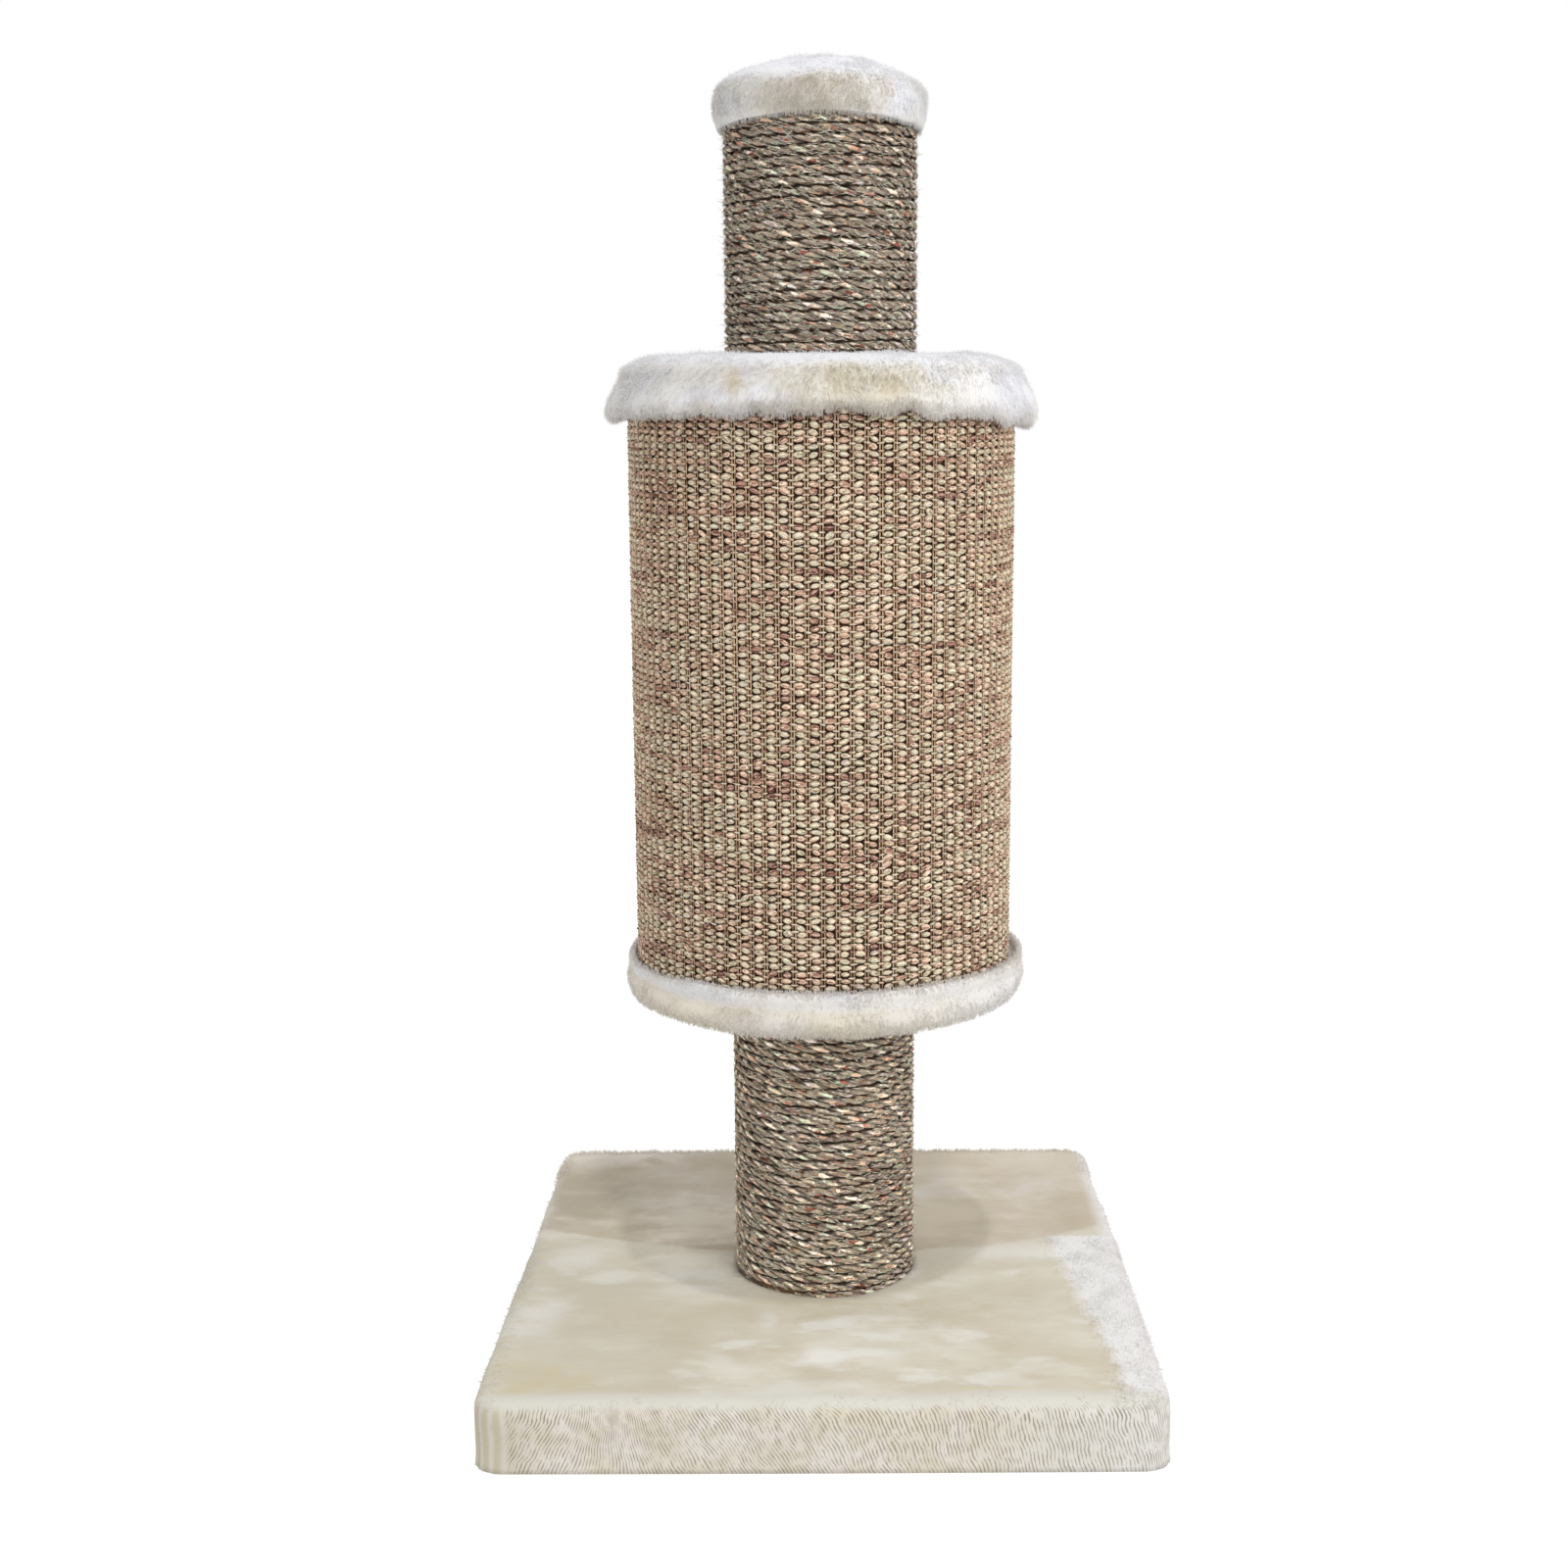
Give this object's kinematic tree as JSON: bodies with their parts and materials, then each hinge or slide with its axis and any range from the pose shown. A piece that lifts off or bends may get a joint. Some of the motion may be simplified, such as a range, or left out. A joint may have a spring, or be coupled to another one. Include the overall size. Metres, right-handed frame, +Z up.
{
  "type": "cat scratching post",
  "caption": "Free-standing cat scratching post: plush base, rope-wound posts, a wide sisal-matted drum between plush platforms, and a padded cap.",
  "frame": {"origin": "on the floor, on the common axis of the two posts and the drum, under the middle of the base", "axes": "+Z up along the posts, -Y towards the front that the picture shows, +X to the right of someone facing that front"},
  "size_m": [0.5092, 0.5092, 1.0282],
  "materials": {
    "base_plush": "short cream plush, combed pile",
    "platform_plush": "long off-white plush",
    "sisal_rope": "twisted sisal rope with green, pink and brown flecks",
    "sisal_mat": "coarse woven sisal matting",
    "cardboard": "wound kraft board",
    "plywood": "bare plywood",
    "chipboard": "bare chipboard",
    "foam": "open-cell foam",
    "rubber": "matt black rubber",
    "steel": "zinc plated"
  },
  "bodies": {
    "root": {"base_lower_board": "chipboard", "base_upper_board": "chipboard", "base_board_screw_1": "steel", "base_board_screw_2": "steel", "base_board_screw_3": "steel", "base_board_screw_4": "steel", "base_plush_cover": "base_plush", "base_pad_1": "rubber", "base_pad_2": "rubber", "base_pad_3": "rubber", "base_pad_4": "rubber", "base_bolt_washer": "steel", "base_bolt": "steel", "lower_post_tube": "cardboard", "lower_post_bottom_plug": "plywood", "lower_post_top_plug": "plywood", "lower_post_bottom_nut": "steel", "lower_post_top_nut": "steel", "lower_post_rope": "sisal_rope", "lower_platform_board": "plywood", "lower_platform_cover": "platform_plush", "lower_stud": "steel", "drum_tube": "cardboard", "drum_bottom_disc": "plywood", "drum_top_disc": "plywood", "drum_bottom_nut": "steel", "drum_top_nut": "steel", "drum_sisal_mat": "sisal_mat", "upper_platform_board": "plywood", "upper_platform_cover": "platform_plush", "upper_stud": "steel", "upper_post_tube": "cardboard", "upper_post_bottom_plug": "plywood", "upper_post_top_plug": "plywood", "upper_post_bottom_nut": "steel", "upper_post_top_nut": "steel", "upper_post_rope": "sisal_rope", "cap_board": "plywood", "cap_nut": "steel", "cap_stud": "steel", "cap_foam_pad": "foam", "cap_plush_cover": "platform_plush"}
  },
  "joints": []
}
